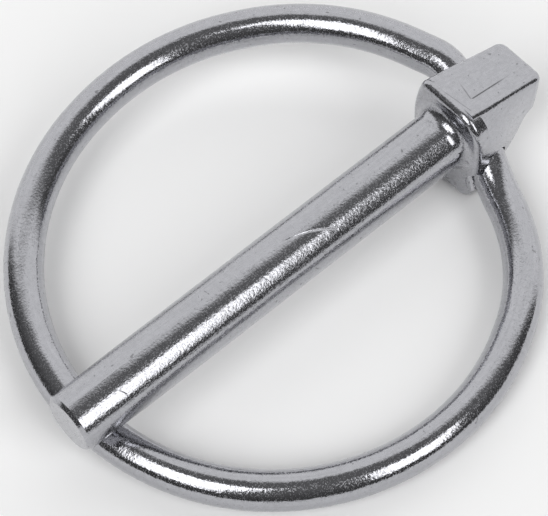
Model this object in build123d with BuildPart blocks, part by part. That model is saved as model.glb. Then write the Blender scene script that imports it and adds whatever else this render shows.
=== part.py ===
# Linch pin: a forged round pin with a tabbed head, and a round-wire spring ring hinged in the head.
# +X runs from the shank towards the tab. The origin is on the shank's axis, where its straight wall
# ends in the root curve below the head.
import os
from math import cos, radians, sin, tan
from build123d import *

# Shank
shank_dia = 6.0
shank_length = 45.5
lead_length = 6.5
lead_drop = 0.08
tip_break = 0.35
shank_root_radius = 1.2

# Collar
collar_thick = 1.7
collar_width = 8.8
collar_belly_drop = 0.9
collar_top_left = 3.3
collar_top_right = 4.2
collar_bottom_width = 6.2
collar_round = 1.1
collar_round_right = 3.0
head_top = 5.5
head_bottom = 7.2
edge_round = 0.6

# Web and tab behind the collar
tab_width = 5.9
tab_shift = 0.25
tab_reach = 10.3
top_slope = 15.0
tab_end_height = 3.9
tab_end_lean = 0.7
tab_under_reach = 2.2
tab_under_fall = 0.6
tab_corner_round = 1.0
web_back_bottom = 4.3

# Boss, the swell of the web's flanks round the bore
boss_proud = 1.05
boss_flat = 3.4
boss_run = 7.2
boss_drop = 0.8
boss_bottom_width = 4.2
tab_proud = 0.05

# Cross bore, leaning and turned across the head, flared at both mouths
bore_from_front = 3.8
bore_drop = 1.8
bore_lean = 25.3
bore_turn = 20.0
bore_clear = 0.08
mouth_start = 2.8
mouth_flare = 16.0

# Spring ring, a twisted loop whose ends meet in the cross bore
wire_dia = 3.8
ring_radius = 23.5
ring_centre_back = 18.95
ring_side_shift = 2.17
ring_drop = 3.62
ring_pitch = 3.4
ring_twist_rise = 3.57
ring_spiral = 1.24
ring_sweep_left = 163.5
ring_sweep_right = 157.2
ring_corners = 8
bend_out_left = 6.15
bend_out_right = 6.55
bend_reach = 1.9
end_gap = 1.2

along = Vector(1, 0, 0)
side = Vector(0, 1, 0)
up = Vector(0, 0, 1)
head_front = along * shank_root_radius
shank_radius = shank_dia / 2
wire_radius = wire_dia / 2
bore_radius = wire_radius + bore_clear
near = shank_radius / 20

upright = Plane(origin=head_front, x_dir=along, z_dir=-side)
top_way = along * cos(radians(top_slope)) - up * sin(radians(top_slope))
bore_way = (along * tan(radians(bore_turn)) + side + up * tan(radians(bore_lean))).normalized()
bore_centre = head_front + along * bore_from_front - up * bore_drop
web_start = collar_thick / 2
tab_top = head_top - tab_reach * tan(radians(top_slope))


def web_section(place, proud):
    half = tab_width / 2
    top = head_top - place * tan(radians(top_slope))
    left_top = (tab_shift + half, top)
    right_top = (tab_shift - half, top)
    left_bottom = (boss_bottom_width / 2, -head_bottom)
    right_bottom = (-boss_bottom_width / 2, -head_bottom)
    with BuildSketch(Plane(origin=head_front + along * place, x_dir=side, z_dir=along)) as section:
        with BuildLine():
            Line(right_top, left_top)
            ThreePointArc(left_top, (half + proud, -boss_drop), left_bottom)
            Line(left_bottom, right_bottom)
            ThreePointArc(right_bottom, (-half - proud, -boss_drop), right_top)
        make_face()
    return section.sketch


# Web and tab: flanks that swell towards the collar, cut to the outline seen from the side
with BuildPart() as web:
    swells = {0: boss_proud, boss_flat: boss_proud, boss_run: tab_proud, tab_reach: tab_proud}
    loft([web_section(place, proud) for place, proud in swells.items()])
    with BuildSketch(upright):
        with BuildLine():
            Polyline(
                (web_start, head_top - web_start * tan(radians(top_slope))),
                (tab_reach, tab_top),
                (tab_reach - tab_end_lean, tab_top - tab_end_height),
                (tab_reach - tab_under_reach, tab_top - tab_end_height - tab_under_fall),
                (web_back_bottom, -head_bottom),
                (web_start, -head_bottom),
                close=True,
            )
        make_face()
    extrude(amount=collar_width, both=True, mode=Mode.INTERSECT)
    tab_end = web.faces().sort_by(Axis.X)[-1]
    fillet([e for e in tab_end.edges() if abs(e.center().Y) > tab_width / 4], radius=tab_corner_round)
    fillet([e for e in web.edges() if e.center().X > head_front.X + web_start + near], radius=edge_round)

with BuildPart() as pin:
    # Collar, leaning with the top slope, with one shoulder more rounded than the other
    with BuildSketch(Plane(origin=head_front, x_dir=side, z_dir=along)) as collar_outline:
        with BuildLine():
            Line((-collar_top_right, head_top), (collar_top_left, head_top))
            ThreePointArc(
                (collar_top_left, head_top),
                (collar_width / 2, -collar_belly_drop),
                (collar_bottom_width / 2, -head_bottom),
            )
            Line((collar_bottom_width / 2, -head_bottom), (-collar_bottom_width / 2, -head_bottom))
            ThreePointArc(
                (-collar_bottom_width / 2, -head_bottom),
                (-collar_width / 2, -collar_belly_drop),
                (-collar_top_right, head_top),
            )
        make_face()
        shoulders = collar_outline.vertices().group_by(Axis.Y)[-1].sort_by(Axis.X)
        fillet(shoulders[0], radius=collar_round_right)
        rows = collar_outline.vertices().group_by(Axis.Y)
        fillet([*rows[0], rows[-1].sort_by(Axis.X)[-1]], radius=collar_round)
    extrude(amount=collar_thick / cos(radians(top_slope)), dir=top_way)
    add(web.part)
    fillet(pin.faces().sort_by(Axis.X)[0].edges(), radius=edge_round)

    # Shank: straight as far as the closed ring, then a slight lead, a break at the tip and a curved root
    tip_radius = shank_radius - lead_drop
    with BuildSketch(upright):
        with BuildLine():
            Polyline(
                (collar_thick, 0),
                (collar_thick, shank_radius),
                (lead_length - shank_length, shank_radius),
                (tip_break - shank_length, tip_radius),
                (-shank_length, tip_radius - tip_break),
                (-shank_length, 0),
                close=True,
            )
        make_face()
    revolve(axis=Axis.X)
    front_x = head_front.X
    root = pin.edges().filter_by(GeomType.CIRCLE).filter_by_position(Axis.X, front_x - near, front_x + near)
    fillet([e for e in root if abs(e.radius - shank_radius) < near], radius=shank_root_radius)

    # Cross bore
    mouth_radius = bore_radius + (collar_width - mouth_start) * tan(radians(mouth_flare))
    with BuildSketch(Plane(origin=bore_centre, x_dir=bore_way, z_dir=bore_way.cross(along))):
        with BuildLine():
            Polyline(
                (-collar_width, 0),
                (-collar_width, mouth_radius),
                (-mouth_start, bore_radius),
                (mouth_start, bore_radius),
                (collar_width, mouth_radius),
                (collar_width, 0),
                close=True,
            )
        make_face()
    revolve(axis=Axis(bore_centre, bore_way), mode=Mode.SUBTRACT)

# Ring's centre line: corners of a twisted many-sided loop, each rounded to an arc
ring_way = along * cos(radians(ring_pitch)) + up * sin(radians(ring_pitch))
ring_up = up * cos(radians(ring_pitch)) - along * sin(radians(ring_pitch))
ring_centre = head_front - along * ring_centre_back + side * ring_side_shift - up * ring_drop
corner_step = (ring_sweep_left + ring_sweep_right) / ring_corners


def ring_corner(turn):
    turn_share = turn / 180
    reach = (ring_radius + ring_spiral * turn_share) / cos(radians(corner_step / 2))
    flat = side * (reach * sin(radians(turn))) - ring_way * (reach * cos(radians(turn)))
    return ring_centre + flat + ring_up * (ring_twist_rise * turn_share)


turns = [ring_sweep_left - corner_step * (n + 0.5) for n in range(ring_corners)]
path = [bore_centre + bore_way * (end_gap / 2), bore_centre + bore_way * bend_out_left]
path += [ring_corner(turn) for turn in turns]
path += [bore_centre - bore_way * bend_out_right, bore_centre - bore_way * (end_gap / 2)]
ways = [(b - a).normalized() for a, b in zip(path, path[1:])]
spans = [(b - a).length for a, b in zip(path, path[1:])]
trims = [0] * len(path)
trims[1] = trims[-2] = bend_reach
for n in range(2, len(path) - 2):
    room_in = spans[n - 1] - bend_reach if n == 2 else spans[n - 1] / 2
    room_out = spans[n] - bend_reach if n == len(path) - 3 else spans[n] / 2
    trims[n] = min(room_in, room_out, ring_radius * tan(radians(corner_step / 2)))

with BuildPart() as spring_ring:
    with BuildLine() as centre_line:
        here = path[0]
        for n in range(1, len(path) - 1):
            enter = path[n] - ways[n - 1] * trims[n]
            leave = path[n] + ways[n] * trims[n]
            if (enter - here).length > near:
                Line(here, enter)
            else:
                enter = here
            TangentArc(enter, leave, tangent=ways[n - 1])
            here = leave
        Line(here, path[-1])
    with BuildSketch(Plane(origin=path[0], x_dir=along, z_dir=bore_way)):
        Circle(wire_radius)
    sweep(path=centre_line.line)

os.makedirs("parts", exist_ok=True)
pin.part.label = "pin"
spring_ring.part.label = "spring_ring"
export_step(pin.part, "parts/pin.step")
export_step(spring_ring.part, "parts/spring_ring.step")
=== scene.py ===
import bpy
import math
from mathutils import Matrix, Vector


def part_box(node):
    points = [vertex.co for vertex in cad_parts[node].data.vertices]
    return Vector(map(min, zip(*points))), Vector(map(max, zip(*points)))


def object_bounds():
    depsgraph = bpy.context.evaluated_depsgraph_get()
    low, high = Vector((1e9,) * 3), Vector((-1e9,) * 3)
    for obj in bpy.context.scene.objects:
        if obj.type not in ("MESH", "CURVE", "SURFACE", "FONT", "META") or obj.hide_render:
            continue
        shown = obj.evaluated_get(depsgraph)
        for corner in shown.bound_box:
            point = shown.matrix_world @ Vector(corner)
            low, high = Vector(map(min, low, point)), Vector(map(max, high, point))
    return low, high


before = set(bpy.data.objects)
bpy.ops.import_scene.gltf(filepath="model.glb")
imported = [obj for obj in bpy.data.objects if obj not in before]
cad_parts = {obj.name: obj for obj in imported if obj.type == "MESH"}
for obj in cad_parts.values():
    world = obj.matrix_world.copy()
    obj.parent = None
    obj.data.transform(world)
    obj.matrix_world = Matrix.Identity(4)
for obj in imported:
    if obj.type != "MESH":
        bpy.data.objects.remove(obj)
cad_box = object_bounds()

MM = 0.001

# Camera, fitted to the photograph's outline
IMAGE_WIDTH = 548
FOCAL_PIXELS = 2600
SENSOR_WIDTH = 36.0
CLIP_START = 1 * MM
CAMERA_PLACE = Vector((-96.42, -96.36, 202.81)) * MM
CAMERA_RIGHT = Vector((0.7502, -0.6605, -0.0314))
CAMERA_DOWN = Vector((-0.5765, -0.6300, -0.5204))

# Studio: angles in degrees as seen from the object, azimuth from +X towards +Y
SOFTBOXES = {
    "left": {"azimuth": -167.5, "elevation": 49, "width": 25.5, "height": 43, "roll": 0},
    "right": {"azimuth": -83.5, "elevation": 40.5, "width": 24, "height": 37, "roll": -14},
}
# Each softbox is a near lamp that the metal mirrors and a far one that lights the floor evenly
SOFTBOX_DISTANCE = {"mirrored": 0.7, "lit": 10.0}
SOFTBOX_RADIANCE = {"mirrored": 2.7, "lit": 4.4}
ROOM_LEVEL = 0.09
CEILING_LEVEL = 0.21
CEILING_SPAN = (5, 65)
SWEEP_LEVEL = 1.25
SWEEP_AZIMUTH = 44
SWEEP_HALF_WIDTH = 67
SWEEP_TOP = 71.5
SWEEP_SOFTNESS = 6
FLOOR_SIZE = 3.0
FLOOR_COLOUR = (0.95, 0.95, 0.95, 1)

# Bright zinc: colour, and roughness of the plate and of its dull specks
ZINC_COLOUR = (0.44, 0.442, 0.468)
PIN_ROUGHNESS = (0.14, 0.32)
RING_ROUGHNESS = (0.09, 0.30)

# Unevenness of the plate: a span is the two noise values between which a speck or pit comes in
NOISE_ROUGHNESS = 0.6
SPECK_SIZE = 0.14 * MM
SPECK_DETAIL = 1
SPECK_SPAN = (0.50, 0.66)
SPECK_HEIGHT = 0.0015 * MM
GRAIN_SIZE = 0.24 * MM
GRAIN_DETAIL = 1
PIN_GRAIN_HEIGHT = 0.013 * MM
RING_GRAIN_HEIGHT = 0.01 * MM
WAVE_SIZE = 1.8 * MM
WAVE_HEIGHT = 0.02 * MM
STREAK_SIZE = 0.22 * MM
STREAK_DETAIL = 2
STREAK_LENGTH = 25
STREAK_HEIGHT = 0.006 * MM
STREAK_SHADE = 0.13
MOTTLE_SIZE = 0.5 * MM
MOTTLE_DETAIL = 3
MOTTLE_SHADE = 0.14
PIT_SIZE = 0.4 * MM
PIT_SPAN = (0.77, 0.83)
PIT_SHADE = 0.40

# Marks on the upper side of the pin, as seen from above: lengths in millimetres, shade as a share
# Each mark is a shallow groove, and a shade above nought paints shade into the colour along it
MARKS = {
    "scratch": {
        "start": (-19.7, 0.17), "end": (-13.9, -2.05), "sag": 0.37,
        "width": 0.24, "depth": 0.06, "shade": 0.0,
    },
    # Painted shade along a hairline groove across the shank
    "hairline_painted_shade": {
        "start": (-39.5, -1.40), "end": (-39.0, -2.10), "sag": 0.0,
        "width": 0.12, "depth": 0.02, "shade": 0.3,
    },
    # Painted shade along two shallow grooves on the head's top
    "line_across_web_painted_shade": {
        "start": (4.1, 1.23), "end": (3.5, -1.04), "sag": 0.0,
        "width": 0.20, "depth": 0.01, "shade": 0.5,
    },
    "line_along_tab_painted_shade": {
        "start": (9.2, -0.74), "end": (3.5, -1.04), "sag": 0.0,
        "width": 0.24, "depth": 0.02, "shade": 0.8,
    },
    # Painted shade along a line across the collar's top
    "line_across_collar_painted_shade": {
        "start": (1.9, 2.3), "end": (2.5, -2.2), "sag": 0.0,
        "width": 0.18, "depth": 0.01, "shade": 0.35,
    },
}
# Shares of a mark's length over which it comes in and ends
MARK_FADE_IN = 0.5
MARK_FADE_OUT = 0.05


def node(tree, kind, **values):
    made = tree.nodes.new(kind)
    for name, value in values.items():
        setattr(made, name, value)
    return made


def maths(tree, operation, *values):
    made = node(tree, "ShaderNodeMath", operation=operation)
    for socket, value in zip(made.inputs, values):
        if isinstance(value, (int, float)):
            socket.default_value = value
        else:
            tree.links.new(value, socket)
    return made.outputs[0]


def ramp_between(tree, value, low, high):
    made = node(tree, "ShaderNodeMapRange", interpolation_type="SMOOTHSTEP")
    made.inputs["From Min"].default_value = low
    made.inputs["From Max"].default_value = high
    tree.links.new(value, made.inputs["Value"])
    return made.outputs["Result"]


def noise(tree, place, size, detail=0):
    made = node(tree, "ShaderNodeTexNoise")
    made.inputs["Scale"].default_value = 1 / size
    made.inputs["Detail"].default_value = detail
    made.inputs["Roughness"].default_value = NOISE_ROUGHNESS
    tree.links.new(place, made.inputs["Vector"])
    return made.outputs["Fac"]


def split_place(tree, place):
    made = node(tree, "ShaderNodeSeparateXYZ")
    tree.links.new(place, made.inputs[0])
    return made.outputs


def join_place(tree, *parts):
    made = node(tree, "ShaderNodeCombineXYZ")
    for socket, part in zip(made.inputs, parts):
        tree.links.new(part, socket)
    return made.outputs[0]


def add_camera():
    data = bpy.data.cameras.new("camera")
    data.sensor_fit = "HORIZONTAL"
    data.sensor_width = SENSOR_WIDTH
    data.lens = FOCAL_PIXELS * SENSOR_WIDTH / IMAGE_WIDTH
    data.clip_start = CLIP_START
    camera = bpy.data.objects.new("camera", data)
    right = CAMERA_RIGHT.normalized()
    up = (-CAMERA_DOWN - right * right.dot(-CAMERA_DOWN)).normalized()
    turn = Matrix((right, up, right.cross(up))).transposed()
    camera.matrix_world = Matrix.Translation(CAMERA_PLACE) @ turn.to_4x4()
    bpy.context.collection.objects.link(camera)
    bpy.context.scene.camera = camera


def aim(azimuth, elevation):
    a, e = math.radians(azimuth), math.radians(elevation)
    return Vector((math.cos(a) * math.cos(e), math.sin(a) * math.cos(e), math.sin(e)))


def add_softbox(name, use, azimuth, elevation, width, height, roll):
    distance = SOFTBOX_DISTANCE[use]
    data = bpy.data.lights.new("softbox_" + name + "_" + use, "AREA")
    data.shape = "RECTANGLE"
    data.size = 2 * distance * math.tan(math.radians(width / 2))
    data.size_y = 2 * distance * math.tan(math.radians(height / 2))
    # A flat lamp of radiance L gives out pi times L times its area
    data.energy = SOFTBOX_RADIANCE[use] * math.pi * data.size * data.size_y
    lamp = bpy.data.objects.new(data.name, data)
    place = aim(azimuth, elevation) * distance
    facing = place.to_track_quat("Z", "Y").to_matrix().to_4x4()
    rolled = Matrix.Rotation(math.radians(roll), 4, "Z")
    lamp.matrix_world = Matrix.Translation(place) @ facing @ rolled
    lamp.visible_camera = False
    lamp.visible_diffuse = use == "lit"
    lamp.visible_glossy = use == "mirrored"
    bpy.context.collection.objects.link(lamp)


def light_world():
    world = bpy.data.worlds.new("studio")
    bpy.context.scene.world = world
    world.use_nodes = True
    tree = world.node_tree
    tree.nodes.clear()
    x, y, z = split_place(tree, node(tree, "ShaderNodeTexCoord").outputs["Generated"])

    # Dim room, paler towards its ceiling
    low, high = (math.radians(angle) for angle in CEILING_SPAN)
    ceiling = ramp_between(tree, maths(tree, "ARCSINE", z), low, high)
    room = maths(tree, "MULTIPLY_ADD", ceiling, CEILING_LEVEL - ROOM_LEVEL, ROOM_LEVEL)

    # Sweep: an upright pale panel, bounded by its azimuth and by a level top edge
    middle = math.radians(SWEEP_AZIMUTH)
    half = math.radians(SWEEP_HALF_WIDTH)
    top = math.radians(SWEEP_TOP)
    soft = math.radians(SWEEP_SOFTNESS)
    azimuth = maths(tree, "ARCTAN2", y, x)
    off = maths(tree, "ABSOLUTE", maths(tree, "SUBTRACT", azimuth, middle))
    ahead = maths(tree, "MULTIPLY", x, math.cos(middle))
    ahead = maths(tree, "MULTIPLY_ADD", y, math.sin(middle), ahead)
    rise = maths(tree, "ARCTAN2", z, ahead)
    inside = maths(tree, "SUBTRACT", 1.0, ramp_between(tree, off, half - soft, half + soft))
    below = maths(tree, "SUBTRACT", 1.0, ramp_between(tree, rise, top - soft, top + soft))
    sweep = maths(tree, "MULTIPLY", inside, below)

    lift = maths(tree, "SUBTRACT", SWEEP_LEVEL, room)
    level = maths(tree, "MULTIPLY_ADD", sweep, lift, room)
    background = node(tree, "ShaderNodeBackground")
    tree.links.new(level, background.inputs["Strength"])
    out = node(tree, "ShaderNodeOutputWorld")
    tree.links.new(background.outputs[0], out.inputs[0])


def add_floor(height):
    half = FLOOR_SIZE / 2
    corners = (-half, -half), (half, -half), (half, half), (-half, half)
    mesh = bpy.data.meshes.new("floor")
    mesh.from_pydata([(x, y, height) for x, y in corners], [], [(0, 1, 2, 3)])
    floor = bpy.data.objects.new("floor", mesh)
    bpy.context.collection.objects.link(floor)
    paper = bpy.data.materials.new("floor_paper")
    paper.use_nodes = True
    shader = paper.node_tree.nodes["Principled BSDF"]
    shader.inputs["Base Color"].default_value = FLOOR_COLOUR
    shader.inputs["Roughness"].default_value = 1.0
    shader.inputs["Specular IOR Level"].default_value = 0.0
    floor.data.materials.append(paper)


def along_shank(tree, place):
    x, y, z = split_place(tree, place)
    return join_place(tree, maths(tree, "DIVIDE", x, STREAK_LENGTH), y, z)


def along_ring(tree, place):
    low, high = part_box("spring_ring")
    x, y, z = split_place(tree, place)
    x = maths(tree, "SUBTRACT", x, (low[0] + high[0]) / 2)
    y = maths(tree, "SUBTRACT", y, (low[1] + high[1]) / 2)
    square = maths(tree, "ADD", maths(tree, "MULTIPLY", x, x), maths(tree, "MULTIPLY", y, y))
    radius = maths(tree, "SQRT", square)
    outside = (high[1] - low[1]) / 2
    turned = maths(tree, "MULTIPLY", maths(tree, "ARCTAN2", y, x), outside / STREAK_LENGTH)
    return join_place(tree, turned, radius, z)


def groove_and_painted_shade(tree, place, mark):
    # One on the mark's line and zero beyond half its width, above the pin's axis only
    start, end = Vector(mark["start"]) * MM, Vector(mark["end"]) * MM
    length = (end - start).length
    way = (end - start) / length
    x, y, z = split_place(tree, place)
    x = maths(tree, "SUBTRACT", x, start.x)
    y = maths(tree, "SUBTRACT", y, start.y)
    run = maths(tree, "MULTIPLY", y, way.y / length)
    run = maths(tree, "MULTIPLY_ADD", x, way.x / length, run)
    left = maths(tree, "SUBTRACT", 1.0, run)
    off = maths(tree, "MULTIPLY_ADD", x, -way.y, maths(tree, "MULTIPLY", y, way.x))
    # A parabola that stands off the straight line by the sag at its middle
    bow = maths(tree, "MULTIPLY", maths(tree, "MULTIPLY", run, left), 4 * mark["sag"] * MM)
    away = maths(tree, "ABSOLUTE", maths(tree, "SUBTRACT", off, bow))
    line = maths(tree, "SUBTRACT", 1.0, ramp_between(tree, away, 0.0, mark["width"] / 2 * MM))
    line = maths(tree, "MULTIPLY", line, ramp_between(tree, run, 0.0, MARK_FADE_IN))
    line = maths(tree, "MULTIPLY", line, ramp_between(tree, left, 0.0, MARK_FADE_OUT))
    return maths(tree, "MULTIPLY", line, maths(tree, "GREATER_THAN", z, 0.0))


def zinc_plate(name, streak_place, grain_height, roughness_span, marks):
    material = bpy.data.materials.new(name)
    material.use_nodes = True
    tree = material.node_tree
    shader = tree.nodes["Principled BSDF"]
    shader.inputs["Metallic"].default_value = 1.0
    place = node(tree, "ShaderNodeTexCoord").outputs["Object"]
    streaks = noise(tree, streak_place(tree, place), STREAK_SIZE, STREAK_DETAIL)
    mottle = noise(tree, place, MOTTLE_SIZE, MOTTLE_DETAIL)
    grain = noise(tree, place, GRAIN_SIZE, GRAIN_DETAIL)
    wave = noise(tree, place, WAVE_SIZE)

    # The noises have a mean of a half, so the shade stays at one on the whole
    plain = 1 - STREAK_SHADE - MOTTLE_SHADE
    shade = maths(tree, "MULTIPLY_ADD", streaks, 2 * STREAK_SHADE, plain)
    shade = maths(tree, "MULTIPLY_ADD", mottle, 2 * MOTTLE_SHADE, shade)
    pits = ramp_between(tree, noise(tree, place, PIT_SIZE), *PIT_SPAN)
    shade = maths(tree, "MULTIPLY_ADD", pits, -PIT_SHADE, shade)

    # Specks of the plate's crystals, duller and a little proud
    specks = ramp_between(tree, noise(tree, place, SPECK_SIZE, SPECK_DETAIL), *SPECK_SPAN)
    smooth, dull = roughness_span
    roughness = maths(tree, "MULTIPLY_ADD", specks, dull - smooth, smooth)
    tree.links.new(roughness, shader.inputs["Roughness"])

    height = maths(tree, "MULTIPLY", specks, SPECK_HEIGHT)
    height = maths(tree, "MULTIPLY_ADD", grain, grain_height, height)
    height = maths(tree, "MULTIPLY_ADD", wave, WAVE_HEIGHT, height)
    height = maths(tree, "MULTIPLY_ADD", streaks, STREAK_HEIGHT, height)
    for mark in marks.values():
        line = groove_and_painted_shade(tree, place, mark)
        height = maths(tree, "MULTIPLY_ADD", line, -mark["depth"] * MM, height)
        # Painted shade: the mark's shade darkens the colour along its groove
        shade = maths(tree, "MULTIPLY_ADD", line, -mark["shade"], shade)
    bump = node(tree, "ShaderNodeBump")
    bump.inputs["Distance"].default_value = 1.0
    tree.links.new(height, bump.inputs["Height"])
    tree.links.new(bump.outputs["Normal"], shader.inputs["Normal"])

    colour = node(tree, "ShaderNodeVectorMath", operation="SCALE")
    colour.inputs[0].default_value = ZINC_COLOUR
    tree.links.new(shade, colour.inputs["Scale"])
    tree.links.new(colour.outputs[0], shader.inputs["Base Color"])
    return material


def dress(piece, material):
    piece.data.materials.clear()
    piece.data.materials.append(material)


add_camera()
for softbox_name, softbox in SOFTBOXES.items():
    for softbox_use in SOFTBOX_RADIANCE:
        add_softbox(softbox_name, softbox_use, **softbox)
light_world()
add_floor(cad_box[0][2])
pin_plate = zinc_plate("zinc_plate_pin", along_shank, PIN_GRAIN_HEIGHT, PIN_ROUGHNESS, MARKS)
ring_plate = zinc_plate("zinc_plate_ring", along_ring, RING_GRAIN_HEIGHT, RING_ROUGHNESS, {})
dress(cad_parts["pin"], pin_plate)
dress(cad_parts["spring_ring"], ring_plate)

bpy.context.scene.view_settings.view_transform = "Standard"
